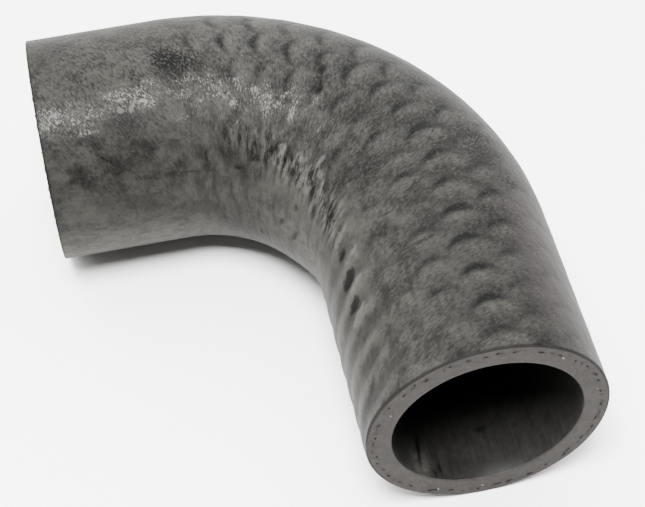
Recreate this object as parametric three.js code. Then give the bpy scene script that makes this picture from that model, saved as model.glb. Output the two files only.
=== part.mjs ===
import * as THREE from 'three';

// Bypass hose of a coolant circuit, moulded in one piece: a short leg, a bend and a long leg.
// Millimetres, +Z up. It lies flat, with the plane of its bend level.
// The origin is under the middle of its box, on the surface it lies on.
// A turn round the hose is 0 on the outer side of the bend, 90 on top and 180 on the inner side.

// Bore and wall
const boreDiameter = 35;
const wallThickness = 5;

// Run of the centreline, from the short leg's end to the long leg's end
const shortLeg = 25.5;
const bendRadius = 44.5;
const bendAngle = 90;
const longLeg = 40;

// Fullness on the inner side of the bend, where the wall was pushed together
const innerFullness = 1.3;
const innerFullnessPlace = 0.6;

// Scales that the knitted reinforcement presses through the cover, in columns along the hose
const columnPairs = 9;
const columnTurn = 84;
const rowPitchInBend = 6.5;
const rowPitchOnLegs = 7;
const firstFurrowPastBendStart = 5.3;
const furrowDepth = 0.45;
const tipShare = 0.3;
const tipCurve = 0.45;
const sideFall = 0.8;

// Where the scales fade: towards the short leg, and on the inner side of the bend
const fullScalesPastBendStart = 15;
const fadeLength = 14;
const faintOnShortLeg = 0.12;
const faintOnInnerSide = 0.2;
const innerSideTurn = 60;

// Row of pinched dents on the long leg, between its top and its inner side
const dentCount = 3;
const dentDepth = 0.8;
const dentPitch = 5.8;
const dentPastBendEnd = 5.2;
const dentTurn = 150;
const dentLength = 1.5;
const dentWidth = 2.4;

// How finely the surfaces are divided
const ringsPerRow = 4;
const sidesPerColumn = 3;
const boreRingTurn = 7.5;
const shortestStep = 0.3;

// Sizes that follow from the ones above
const { clamp, degToRad, smoothstep, lerp } = THREE.MathUtils;
const boreRadius = boreDiameter / 2;
const outerRadius = boreRadius + wallThickness;
const columns = 2 * columnPairs;
const sides = columns * sidesPerColumn;
const bendTurn = degToRad(bendAngle);
const bendLength = bendRadius * bendTurn;
const bendEnd = shortLeg + bendLength;
const hoseLength = bendEnd + longLeg;
const up = new THREE.Vector3(0, 0, 1);

/** Point of the centreline at a distance along it, and the outer side there. The bend's centre is 0, 0. */
function centreline(distance) {
  const turn = clamp((distance - shortLeg) / bendRadius, 0, bendTurn);
  const heading = new THREE.Vector3(Math.cos(turn), -Math.sin(turn), 0);
  const outerSide = new THREE.Vector3(Math.sin(turn), Math.cos(turn), 0);
  const onLeg = Math.min(distance - shortLeg, 0) + Math.max(distance - bendEnd, 0);
  const point = outerSide.clone().multiplyScalar(bendRadius).addScaledVector(heading, onLeg);
  return { point, outerSide };
}

/** Rows of scales passed at a distance. Whole numbers are furrows, and 0 is the first one in the bend. */
function rowAt(distance) {
  const inBend = clamp(distance - shortLeg, 0, bendLength);
  const onLegs = distance - shortLeg - inBend;
  return (inBend - firstFurrowPastBendStart) / rowPitchInBend + onLegs / rowPitchOnLegs;
}

/** Distance at which a row is passed. */
function distanceOfRow(row) {
  const startRow = rowAt(shortLeg);
  const endRow = rowAt(bendEnd);
  const rowInBend = clamp(row, startRow, endRow);
  return shortLeg + (rowInBend - startRow) * rowPitchInBend + (row - rowInBend) * rowPitchOnLegs;
}

/** Height of a scale along its column, from 0 in the furrow before its tip to 1 on its crest. */
function heightAlongScale(row) {
  const along = row - Math.floor(row);
  const phase = along < tipShare ? 1 - along / tipShare : (along - tipShare) / (1 - tipShare);
  return 0.5 + 0.5 * Math.cos(Math.PI * phase);
}

/** Height of every second column of scales. The others are one column on and half a row on. */
function heightOfColumns(row, column, shift) {
  const pair = (column - shift) / 2;
  const across = 2 * (pair - Math.round(pair));
  const tipRow = row - shift / 2 - tipCurve * across ** 2;
  return heightAlongScale(tipRow) - sideFall * across ** 2;
}

/** Share of their full depth that the furrows have at a place. */
function scaleStrength(distance, turn) {
  const full = shortLeg + fullScalesPastBendStart;
  const alongHose = lerp(faintOnShortLeg, 1, smoothstep(distance, full - fadeLength, full));
  const facesInwards = smoothstep(-Math.cos(turn), Math.cos(degToRad(innerSideTurn)), 1);
  const beforeLeg = 1 - smoothstep(distance, bendEnd - fadeLength, bendEnd);
  return alongHose * lerp(1, faintOnInnerSide, facesInwards * beforeLeg);
}

/** How far the surface lies below its crests, for the furrows between the scales. */
function furrowBelowCrest(distance, turn) {
  const row = rowAt(distance);
  const column = (turn - degToRad(columnTurn)) / (2 * Math.PI / columns);
  const height = Math.max(heightOfColumns(row, column, 0), heightOfColumns(row, column, 1));
  return furrowDepth * (1 - height) * scaleStrength(distance, turn);
}

/** How far the pinched dents lower the surface. */
function dentBelowCrest(distance, turn) {
  const offRow = turn - degToRad(dentTurn);
  const across = outerRadius * Math.atan2(Math.sin(offRow), Math.cos(offRow)) / dentWidth;
  let depth = 0;
  for (let dent = 0; dent < dentCount; dent += 1) {
    const middle = bendEnd + dentPastBendEnd + dent * dentPitch;
    const along = (distance - middle) / dentLength;
    depth += dentDepth * Math.exp(-(along ** 2) - across ** 2);
  }
  return depth;
}

/** How far the surface stands out on the inner side of the bend. */
function fullness(distance, turn) {
  const share = (distance - shortLeg) / bendLength;
  const rises = smoothstep(share, 0, innerFullnessPlace);
  const falls = 1 - smoothstep(share, innerFullnessPlace, 1);
  return innerFullness * rises * falls * Math.max(-Math.cos(turn), 0) ** 2;
}

/** Radius of the outer surface at a distance and a turn. */
function radiusOutside(distance, turn) {
  const lowered = furrowBelowCrest(distance, turn) + dentBelowCrest(distance, turn);
  return outerRadius + fullness(distance, turn) - lowered;
}

/** Distances of the rings on the outer surface: both ends, and every quarter row between them. */
function outerDistances() {
  const distances = [0];
  const lastStep = Math.floor(rowAt(hoseLength) * ringsPerRow);
  for (let step = Math.ceil(rowAt(0) * ringsPerRow); step <= lastStep; step += 1) {
    const distance = distanceOfRow(step / ringsPerRow);
    if (Math.min(distance, hoseLength - distance) > shortestStep) distances.push(distance);
  }
  distances.push(hoseLength);
  return distances;
}

/** Distances of the rings in the bore, where only the bend needs rings of its own. */
function boreDistances() {
  const steps = Math.ceil(bendAngle / boreRingTurn);
  const inBend = Array.from({ length: steps + 1 }, (_, i) => shortLeg + bendLength * i / steps);
  return [0, ...inBend, hoseLength];
}

/** One ring round the centreline: its points and their radii. */
function ring(distance, radiusAt) {
  const { point, outerSide } = centreline(distance);
  const start = degToRad(columnTurn);
  const turns = Array.from({ length: sides }, (_, side) => start + 2 * Math.PI * side / sides);
  const radii = turns.map((turn) => radiusAt(distance, turn));
  const points = turns.map((turn, side) => point.clone()
    .addScaledVector(outerSide, radii[side] * Math.cos(turn))
    .addScaledVector(up, radii[side] * Math.sin(turn)));
  return { points, radii };
}

/** The two triangles between four corners, split along the ridge or furrow that crosses them. */
function splitAlongRidge(corners, radii) {
  const [a, b, c, d] = corners;
  const stepAcross = Math.abs(radii[a] - radii[c]) - Math.abs(radii[b] - radii[d]);
  return stepAcross < 0 ? [a, b, c, a, c, d] : [a, b, d, b, c, d];
}

/** The closed wall: outer surface towards the long leg, end face, bore back, and the other end face. */
function hoseWall() {
  const outerRings = outerDistances().map((distance) => ring(distance, radiusOutside));
  const boreRings = boreDistances().reverse().map((distance) => ring(distance, () => boreRadius));
  const rings = [...outerRings, ...boreRings];
  const radii = rings.flatMap(({ radii: ofRing }) => ofRing);
  const index = [];
  rings.forEach((_, i) => {
    const here = i * sides;
    const next = ((i + 1) % rings.length) * sides;
    for (let side = 0; side < sides; side += 1) {
      const beside = (side + 1) % sides;
      const corners = [here + side, here + beside, next + beside, next + side];
      index.push(...splitAlongRidge(corners, radii));
    }
  });
  const wall = new THREE.BufferGeometry().setFromPoints(rings.flatMap(({ points }) => points));
  wall.setIndex(index);
  wall.computeVertexNormals();
  return wall;
}

/** Moves a geometry so that the origin is under the middle of its box, on the surface it rests on. */
function setDown(geometry) {
  geometry.computeBoundingBox();
  const { min, max } = geometry.boundingBox;
  return geometry.translate(-(min.x + max.x) / 2, -(min.y + max.y) / 2, -min.z);
}

/** Black rubber, greyed with age. */
function agedRubber() {
  return new THREE.MeshStandardMaterial({ color: 0x63605a, roughness: 0.62, metalness: 0 });
}

const hose = new THREE.Mesh(setDown(hoseWall()), agedRubber());
hose.name = 'moulded_hose';

const bypassHose = new THREE.Group();
bypassHose.name = 'bypass_hose';
bypassHose.add(hose);

export default bypassHose;
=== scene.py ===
"""Looks of a moulded bypass hose: its wall with the scale pattern of the knitted layer, the yarn ends in
its cut faces, its aged rubber, and a plain pale stage with the camera of the photograph.

Lengths are in millimetres and angles in degrees, unless a name says otherwise. A place on the hose is given
by its distance along the centreline from the short leg's end, and by its turn round the hose: 0 on the outer
side of the bend, 90 on top, 180 on the inner side and 270 underneath.
"""

import logging
import math
from dataclasses import astuple, dataclass
from enum import Enum
from typing import Mapping, Union

import bpy
from mathutils import Matrix, Vector

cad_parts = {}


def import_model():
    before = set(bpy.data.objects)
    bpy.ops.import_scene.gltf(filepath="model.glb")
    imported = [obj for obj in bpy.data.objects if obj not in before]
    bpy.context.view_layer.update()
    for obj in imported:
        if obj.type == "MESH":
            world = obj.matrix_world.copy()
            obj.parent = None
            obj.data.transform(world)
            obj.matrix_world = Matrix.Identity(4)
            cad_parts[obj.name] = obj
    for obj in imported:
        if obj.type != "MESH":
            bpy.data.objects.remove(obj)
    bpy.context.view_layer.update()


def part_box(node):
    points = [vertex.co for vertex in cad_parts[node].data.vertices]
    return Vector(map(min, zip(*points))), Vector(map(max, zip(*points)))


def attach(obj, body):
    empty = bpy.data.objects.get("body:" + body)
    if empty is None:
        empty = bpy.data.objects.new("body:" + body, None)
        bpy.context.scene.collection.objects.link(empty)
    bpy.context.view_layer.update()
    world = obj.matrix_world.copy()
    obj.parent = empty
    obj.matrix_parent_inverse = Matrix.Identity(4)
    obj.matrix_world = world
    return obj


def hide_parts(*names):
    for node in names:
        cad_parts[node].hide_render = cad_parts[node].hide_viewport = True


LOG = logging.getLogger("bypass_hose")

METRES_PER_MM = 0.001
DEGREES_PER_RADIAN = math.degrees(1.0)
RADIANS_PER_DEGREE = math.radians(1.0)
HOSE_NODE = "moulded_hose"
BODY = "root"

Colour = tuple[float, float, float, float]
Lengths = tuple[float, float, float]
Span = tuple[float, float]
Feed = Union["Value", bpy.types.NodeSocket, bpy.types.Material, float, int, str, bool, tuple]


class Value:
    """A number that varies over a surface. Python's operators on it add the Math nodes that work it out."""

    def __init__(self, graph: "Graph", socket: bpy.types.NodeSocket) -> None:
        """Keeps the output socket that gives the number, and the graph it belongs to."""
        self.graph = graph
        self.socket = socket

    def __add__(self, other: "Number") -> "Value":
        """Returns self + other."""
        return self.graph.maths("ADD", self, other)

    __radd__ = __add__

    def __sub__(self, other: "Number") -> "Value":
        """Returns self - other."""
        return self.graph.maths("SUBTRACT", self, other)

    def __rsub__(self, other: "Number") -> "Value":
        """Returns other - self."""
        return self.graph.maths("SUBTRACT", other, self)

    def __mul__(self, other: "Number") -> "Value":
        """Returns self * other."""
        return self.graph.maths("MULTIPLY", self, other)

    __rmul__ = __mul__

    def __truediv__(self, other: "Number") -> "Value":
        """Returns self / other."""
        return self.graph.maths("DIVIDE", self, other)

    def __pow__(self, other: "Number") -> "Value":
        """Returns self to the power of other."""
        return self.graph.maths("POWER", self, other)

    def __neg__(self) -> "Value":
        """Returns -self."""
        return self.graph.maths("MULTIPLY", self, -1.0)

    def __abs__(self) -> "Value":
        """Returns self without its sign."""
        return self.graph.maths("ABSOLUTE", self)

    def least(self, other: "Number") -> "Value":
        """Returns the smaller of self and other."""
        return self.graph.maths("MINIMUM", self, other)

    def most(self, other: "Number") -> "Value":
        """Returns the larger of self and other."""
        return self.graph.maths("MAXIMUM", self, other)

    def between(self, low: "Number", high: "Number") -> "Value":
        """Returns self kept between low and high."""
        return self.most(low).least(high)

    def fraction(self) -> "Value":
        """Returns what self has past the whole number below it."""
        return self.graph.maths("FRACT", self)

    def nearest_whole(self) -> "Value":
        """Returns the whole number nearest to self."""
        return self.graph.maths("ROUND", self)

    def sine(self) -> "Value":
        """Returns the sine of self, in radians."""
        return self.graph.maths("SINE", self)

    def cosine(self) -> "Value":
        """Returns the cosine of self, in radians."""
        return self.graph.maths("COSINE", self)

    def bell(self) -> "Value":
        """Returns a smooth bump, 1 where self is 0 and nearly 0 where it is past 2."""
        return self.graph.maths("EXPONENT", -(self * self))

    def step(self, low: float, high: float) -> "Value":
        """Rises smoothly from 0 to 1.

        Args:
            low: Where the rise starts. It may be more than high, and then the step falls.
            high: Where the rise ends.

        Returns:
            The step, from 0 to 1.
        """
        rising = low < high
        ends = {"From Min": min(low, high), "From Max": max(low, high)}
        levels = {"To Min": 0.0 if rising else 1.0, "To Max": 1.0 if rising else 0.0}
        settings = {"interpolation_type": "SMOOTHSTEP"}
        node = self.graph.node("ShaderNodeMapRange", settings, {"Value": self, **ends, **levels})
        return Value(self.graph, node.outputs["Result"])

    def band(self, low: float, high: float, soft: float) -> "Value":
        """Stands out between two limits.

        Args:
            low: The lower limit, where the band is at half its height.
            high: The upper limit, where it is at half its height.
            soft: The width over which each side rises or falls.

        Returns:
            The band, from 0 to 1.
        """
        return self.step(low - soft / 2, low + soft / 2) * self.step(high + soft / 2, high - soft / 2)


Number = Union[Value, float]


class Graph:
    """A shader or geometry node tree that is being built."""

    def __init__(self, tree: bpy.types.NodeTree) -> None:
        """Keeps the tree."""
        self.tree = tree

    def node(
        self,
        kind: str,
        settings: Mapping[str, object] | None = None,
        inputs: Mapping[str, Feed] | None = None,
    ) -> bpy.types.Node:
        """Adds one node.

        Args:
            kind: The node's type.
            settings: Its own options, which are set first.
            inputs: What each input socket holds or is linked to, by the socket's identifier or name.

        Returns:
            The node.
        """
        node = self.tree.nodes.new(kind)
        for name, setting in (settings or {}).items():
            setattr(node, name, setting)
        for name, feed in (inputs or {}).items():
            self._feed(self._input(node, name), feed)
        return node

    @staticmethod
    def _input(node: bpy.types.Node, name: str) -> bpy.types.NodeSocket:
        """Returns a node's input socket by its identifier, or else by its name."""
        by_identifier = [socket for socket in node.inputs if socket.identifier == name]
        return by_identifier[0] if by_identifier else node.inputs[name]

    def _feed(self, socket: bpy.types.NodeSocket, feed: Feed) -> None:
        """Links a socket to what feeds it, or sets its own value.

        Args:
            socket: The input socket.
            feed: An output to link, or a plain value.
        """
        source = feed.socket if isinstance(feed, Value) else feed
        if isinstance(source, bpy.types.NodeSocket):
            self.tree.links.new(source, socket)
        else:
            socket.default_value = source

    def maths(self, operation: str, *numbers: Number) -> Value:
        """Adds a Math node.

        Args:
            operation: The node's operation.
            numbers: What its sockets hold, in order.

        Returns:
            The result.
        """
        node = self.node("ShaderNodeMath", {"operation": operation})
        for socket, number in zip(node.inputs, numbers):
            self._feed(socket, number)
        return Value(self, node.outputs[0])

    def vector_maths(self, operation: str, inputs: Mapping[str, Feed]) -> bpy.types.NodeSocket:
        """Adds a Vector Math node.

        Args:
            operation: The node's operation.
            inputs: What its sockets hold, by identifier: Vector, Vector_001 and Scale.

        Returns:
            The resulting vector.
        """
        return self.node("ShaderNodeVectorMath", {"operation": operation}, inputs).outputs["Vector"]

    def vector(self, x: Number, y: Number, z: Number) -> bpy.types.NodeSocket:
        """Returns a vector made of three numbers."""
        return self.node("ShaderNodeCombineXYZ", None, {"X": x, "Y": y, "Z": z}).outputs["Vector"]

    def parts(self, vector: bpy.types.NodeSocket) -> tuple[Value, Value, Value]:
        """Returns a vector's three numbers."""
        node = self.node("ShaderNodeSeparateXYZ", None, {"Vector": vector})
        return tuple(Value(self, output) for output in node.outputs)

    def grain(
        self,
        place: bpy.types.NodeSocket,
        size: float | Lengths,
        detail: float = 2.0,
        roughness: float = 0.5,
        shift: float = 0.0,
    ) -> Value:
        """Adds noise.

        Args:
            place: Where on the surface it is read.
            size: How far its lumps are apart, in the units of place, one number or one for each axis.
            detail: How many finer layers it has.
            roughness: How strong the finer layers are.
            shift: How far the pattern is moved, so that each layer of noise is another one.

        Returns:
            The noise, about 0.5 in the middle.
        """
        sizes = size if isinstance(size, tuple) else (size, size, size)
        per_axis = tuple(1.0 / length for length in sizes)
        scaled = self.vector_maths("MULTIPLY", {"Vector": place, "Vector_001": per_axis})
        moved = self.vector_maths("ADD", {"Vector": scaled, "Vector_001": (shift, shift, shift)})
        inputs = {"Vector": moved, "Scale": 1.0, "Detail": detail, "Roughness": roughness}
        node = self.node("ShaderNodeTexNoise", {"noise_dimensions": "3D"}, inputs)
        return Value(self, node.outputs[0])

    def chance(self, low: Number, high: Number, seed: Number) -> Value:
        """Gives each element a random number.

        Args:
            low: The lowest number.
            high: The highest number.
            seed: The seed.

        Returns:
            The number.
        """
        inputs = {"Min_001": low, "Max_001": high, "Seed": seed}
        node = self.node("FunctionNodeRandomValue", {"data_type": "FLOAT"}, inputs)
        return Value(self, next(output for output in node.outputs if output.identifier == "Value_001"))

    def mix(self, share: Number, below: Feed, above: Feed) -> bpy.types.NodeSocket:
        """Lays one colour over another.

        Args:
            share: How much of the upper colour shows.
            below: The lower colour.
            above: The upper colour.

        Returns:
            The mixed colour.
        """
        settings = {"data_type": "RGBA", "clamp_factor": True}
        inputs = {"Factor_Float": share, "A_Color": below, "B_Color": above}
        node = self.node("ShaderNodeMix", settings, inputs)
        return next(output for output in node.outputs if output.identifier == "Result_Color")


@dataclass(frozen=True)
class Surface:
    """A surface of the hose, in a tree that is being built.

    Its place on the straightened hose is given as a vector, and as a distance and a turn in degrees.
    """

    graph: Graph
    place: bpy.types.NodeSocket
    distance: Value
    turn: Value


class Paint:
    """A material's colour, built up layer by layer."""

    def __init__(self, graph: Graph, lowest: Colour) -> None:
        """Keeps the material's graph, and starts with the lowest colour."""
        self.graph = graph
        self.colour: Feed = lowest

    def lay(self, share: Number, colour: Colour) -> None:
        """Lays a colour over the ones below it. It shows as much as share says, from 0 to 1."""
        self.colour = self.graph.mix(share, self.colour, colour)


class Zone(Enum):
    """The three kinds of surface that the wall has."""

    COVER = 0
    CUT_FACE = 1
    BORE = 2


class TreeKind(Enum):
    """The two kinds of node tree, each with the type of its group node."""

    GEOMETRY = ("GeometryNodeTree", "GeometryNodeGroup")
    SHADER = ("ShaderNodeTree", "ShaderNodeGroup")


@dataclass(frozen=True)
class Mark:
    """One oval place on the cover or in the bore, such as a dent or a dark patch.

    It has the distance and turn of its middle, its half length along the hose, its half width round it, its
    strength, and how far it leans along the hose for each millimetre round it.
    """

    distance: float
    turn: float
    length: float
    width: float
    strength: float
    lean: float = 0.0


MARK_PLACE = ("Place along", "Place round")
MARK_SIZES = ("Middle along", "Middle round", "Length", "Width", "Strength", "Lean")


@dataclass(frozen=True)
class MarkStamp:
    """Stamps oval marks, through one node group for each kind of tree.

    A mark's width is measured at the cover's radius, for marks in the bore too.
    """

    kind: TreeKind
    outer_radius: float
    sharpness: float = 1.3

    def tree(self) -> bpy.types.NodeTree:
        """Builds the group, or finds it if it has been built.

        Returns:
            The group's tree.
        """
        name = f"oval_mark_{self.kind.name.lower()}_{self.sharpness}"
        found = bpy.data.node_groups.get(name)
        if found:
            return found
        tree = bpy.data.node_groups.new(name, self.kind.value[0])
        names = MARK_PLACE + MARK_SIZES
        for socket_name in names:
            tree.interface.new_socket(socket_name, in_out="INPUT", socket_type="NodeSocketFloat")
        tree.interface.new_socket("Mark", in_out="OUTPUT", socket_type="NodeSocketFloat")
        graph = Graph(tree)
        entry = graph.node("NodeGroupInput")
        distance, turn, middle, round_middle, length, width, strength, lean = (
            Value(graph, entry.outputs[socket_name]) for socket_name in names
        )
        away = (turn - round_middle) / 360.0
        across = (away - away.nearest_whole()) * (2 * math.pi * self.outer_radius)
        along = (distance - middle - across * lean) / length
        over = across / width
        mark = strength * graph.maths("EXPONENT", -((along * along + over * over) ** self.sharpness))
        graph.node("NodeGroupOutput", None, {"Mark": mark})
        return tree

    def one(self, surface: Surface, mark: Mark) -> Value:
        """Stamps one mark.

        Args:
            surface: The surface.
            mark: The mark.

        Returns:
            The mark's strength at each place.
        """
        feeds = (surface.distance, surface.turn, *astuple(mark))
        inputs = dict(zip(MARK_PLACE + MARK_SIZES, feeds))
        node = surface.graph.node(self.kind.value[1], {"node_tree": self.tree()}, inputs)
        return Value(surface.graph, node.outputs["Mark"])

    def all(self, surface: Surface, marks: tuple[Mark, ...]) -> Value:
        """Stamps several marks.

        Args:
            surface: The surface.
            marks: The marks.

        Returns:
            The sum of the marks at each place.
        """
        total = self.one(surface, marks[0])
        for mark in marks[1:]:
            total = total + self.one(surface, mark)
        return total


@dataclass
class HoseForm:
    """The hose's sizes, and where it lies in the frame."""

    low: Vector
    bore_radius: float = 17.5
    wall: float = 5.0
    short_leg: float = 25.5
    bend_radius: float = 44.5
    bend_angle: float = 90.0
    long_leg: float = 40.0

    @property
    def outer_radius(self) -> float:
        """Radius over the crests of the cover."""
        return self.bore_radius + self.wall

    @property
    def bend_length(self) -> float:
        """Length of the centreline in the bend."""
        return self.bend_radius * math.radians(self.bend_angle)

    @property
    def bend_end(self) -> float:
        """Distance at which the long leg starts."""
        return self.short_leg + self.bend_length

    @property
    def length(self) -> float:
        """Length of the whole centreline."""
        return self.bend_end + self.long_leg

    @property
    def bend_centre(self) -> Vector:
        """Centre of the bend, at the height of the centreline."""
        low = self.low / METRES_PER_MM
        return Vector((low.x + self.short_leg, low.y + self.long_leg, low.z + self.outer_radius))


@dataclass(frozen=True)
class Scales:
    """What the scale pattern gives at a place: how deep it lies, its painted shade with dirt, and its
    painted highlight.
    """

    furrow: Value
    shade: Value
    crest: Value


@dataclass(frozen=True)
class ScalePattern:
    """The scales that the knitted layer presses through the cover.

    They lie in columns along the hose, each column half a row on from its neighbours. A scale rises steeply
    from the dark furrow before its tip and falls slowly towards the next one.
    """

    form: HoseForm
    columns: int = 18
    column_turn: float = 84.0
    row_pitch_in_bend: float = 6.5
    row_pitch_on_legs: float = 7.0
    first_furrow_past_bend_start: float = 5.3
    furrow_depth: float = 0.2
    tip_share: float = 0.3
    tip_curve: float = 0.45
    side_fall: float = 0.75
    blend: float = 0.4
    shade_width: float = 0.135
    shade_height: float = 0.44
    tail_side: float = 0.12
    tail_curve: float = 0.7
    dusk: float = 0.22
    dusk_start: float = 0.55
    crest_start: float = 0.34
    crest_width: float = 0.24
    crest_height: float = 0.6
    full_past_bend_start: float = 17.0
    fade_length: float = 20.0
    faint_on_short_leg: float = 0.12
    clear_turn: float = 76.0
    clear_turn_shift: float = 7.0
    clear_width: float = 29.0
    clear_narrowing: float = 6.0
    clear_change: Span = (80.0, 104.0)
    faint_share: float = 0.3
    wander_rows: float = 0.22
    wander_columns: float = 0.16
    wander_size: float = 15.0
    uneven_depth: float = 0.6
    uneven_levels: Span = (0.3, 0.65)

    def row(self, distance: Value) -> Value:
        """Counts the rows of scales.

        Args:
            distance: Distance along the hose.

        Returns:
            The rows passed since the first furrow in the bend.
        """
        in_bend = (distance - self.form.short_leg).between(0.0, self.form.bend_length)
        on_legs = distance - self.form.short_leg - in_bend
        rows_in_bend = (in_bend - self.first_furrow_past_bend_start) / self.row_pitch_in_bend
        return rows_in_bend + on_legs / self.row_pitch_on_legs

    def half(self, row: Value, column: Value, shift: int) -> Scales:
        """Works out every second column of scales.

        Args:
            row: Rows passed along the hose.
            column: Columns passed round the hose.
            shift: 0 for the first set of columns, 1 for the set between them, which is half a row on.

        Returns:
            The set's scales. Their furrow runs from 0 on a crest to 1, and further beside the column.
        """
        pair = (column - shift) / 2
        across = 2 * (pair - pair.nearest_whole())
        side = across * across
        past_tip = row - shift / 2 - self.tip_curve * side
        along = past_tip.fraction()
        falling = (along - self.tip_share) / (1 - self.tip_share)
        phase = falling.most(1 - along / self.tip_share)
        furrow = 0.5 - 0.5 * (math.pi * phase).cosine() + self.side_fall * side
        tail = across.most(0.0)
        shade_line = past_tip - self.tail_curve * tail * tail
        from_tip = (shade_line - shade_line.nearest_whole()) / self.shade_width
        # shade is painted shade with dirt at the furrow before each tip, dusk a softer painted shade leading
        # up to it, and crest a painted highlight on the rise just past it.
        shade = from_tip.bell() * ((across - self.tail_side) / self.shade_height).bell()
        dusk = self.dusk * along.step(self.dusk_start, 1.0) * (across / self.shade_height).bell()
        crest = ((along - self.crest_start) / self.crest_width).bell() * (across / self.crest_height).bell()
        return Scales(furrow, shade.most(dusk), crest)

    def strength(self, distance: Value, turn: Value) -> Value:
        """Gives how clear the scales are at a place.

        Args:
            distance: Distance along the hose.
            turn: Turn round the hose, in degrees.

        Returns:
            The share of their full depth and darkness, from 0 to 1.
        """
        full = self.form.short_leg + self.full_past_bend_start
        rise = distance.step(full - self.fade_length, full)
        along = self.faint_on_short_leg + (1 - self.faint_on_short_leg) * rise
        on_long_leg = distance.step(*self.clear_change)
        clearest = self.clear_turn + self.clear_turn_shift * on_long_leg
        clear = ((turn - clearest) / (self.clear_width - self.clear_narrowing * on_long_leg)).bell()
        return along * (self.faint_share + (1 - self.faint_share) * clear)

    def at(self, surface: Surface) -> Scales:
        """Works out the whole pattern, in a geometry or a shader tree.

        Args:
            surface: The cover.

        Returns:
            The scales, with their strength taken in.
        """
        graph, place = surface.graph, surface.place
        ahead = self.wander_rows * (graph.grain(place, self.wander_size, 1.0, shift=3.0) - 0.5)
        row = self.row(surface.distance) + ahead
        aside = self.wander_columns * (graph.grain(place, self.wander_size, 1.0, shift=11.0) - 0.5)
        column = (surface.turn - self.column_turn) * (self.columns / 360.0) + aside
        first = self.half(row, column, 0)
        second = self.half(row, column, 1)
        patches = graph.grain(place, self.wander_size / 2, 1.0, shift=23.0)
        uneven = 1 - self.uneven_depth * (1 - patches.step(*self.uneven_levels))
        strength = self.strength(surface.distance, surface.turn) * uneven
        furrow = graph.maths("SMOOTH_MIN", first.furrow, second.furrow, self.blend)
        return Scales(
            furrow.most(0.0) * strength,
            first.shade.most(second.shade) * strength,
            first.crest.most(second.crest) * strength,
        )


@dataclass(frozen=True)
class Ribs:
    """The slanted ribs on the inner side of the long leg, in line with the row of dents."""

    outer_radius: float
    pitch: float = 5.85
    furrow: float = 117.8
    lean: float = 0.32
    turns: Span = (138.0, 196.0)
    fade_turn: float = 16.0
    starts: Span = (92.0, 112.0)
    depth: float = 0.13

    def at(self, surface: Surface) -> Value:
        """Gives how high the ribs stand.

        Args:
            surface: The cover.

        Returns:
            The height, 1 on a rib and -1 between two ribs, and 0 away from them.
        """
        distance, turn = surface.distance, surface.turn
        down = (turn - self.turns[0]) * (RADIANS_PER_DEGREE * self.outer_radius)
        phase = (distance - self.furrow - self.lean * down) * (2 * math.pi / self.pitch)
        return -phase.cosine() * turn.band(*self.turns, self.fade_turn) * distance.step(*self.starts)


DENTS = (
    Mark(100.6, 149.0, 1.3, 1.7, 0.6, lean=0.25),
    Mark(106.4, 149.0, 1.4, 2.3, 0.95, lean=0.3),
    Mark(112.0, 150.0, 1.2, 2.1, 0.8, lean=0.3),
    Mark(117.8, 152.5, 1.4, 2.3, 0.35, lean=0.3),
    Mark(123.8, 151.0, 1.4, 2.0, 0.2, lean=0.3),
    Mark(129.6, 153.0, 1.5, 2.2, 0.35, lean=0.3),
)

GOUGE = (
    Mark(59.0, 90.8, 0.9, 1.6, 0.55),
    Mark(60.2, 97.0, 0.4, 2.4, 0.4, lean=0.5),
    Mark(61.2, 102.8, 0.95, 1.5, 0.55),
)

CREASES = (
    Mark(52.0, 146.8, 1.8, 0.8, 0.2),
    Mark(60.8, 144.6, 1.5, 0.7, 0.3, lean=0.5),
    Mark(62.5, 141.0, 0.45, 2.4, 0.25),
    Mark(65.3, 134.8, 1.3, 0.7, 0.25),
    Mark(67.0, 144.8, 1.9, 1.3, 0.4),
    Mark(69.6, 139.0, 0.8, 1.6, 0.3),
    Mark(75.0, 143.0, 1.4, 1.4, 0.35, lean=0.4),
    Mark(77.8, 140.5, 0.7, 2.4, 0.35, lean=0.2),
    Mark(85.0, 145.6, 2.4, 1.2, 0.3),
    Mark(88.6, 151.5, 1.4, 1.6, 0.3, lean=1.0),
    Mark(82.3, 154.0, 1.1, 1.6, 0.25),
)


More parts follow.
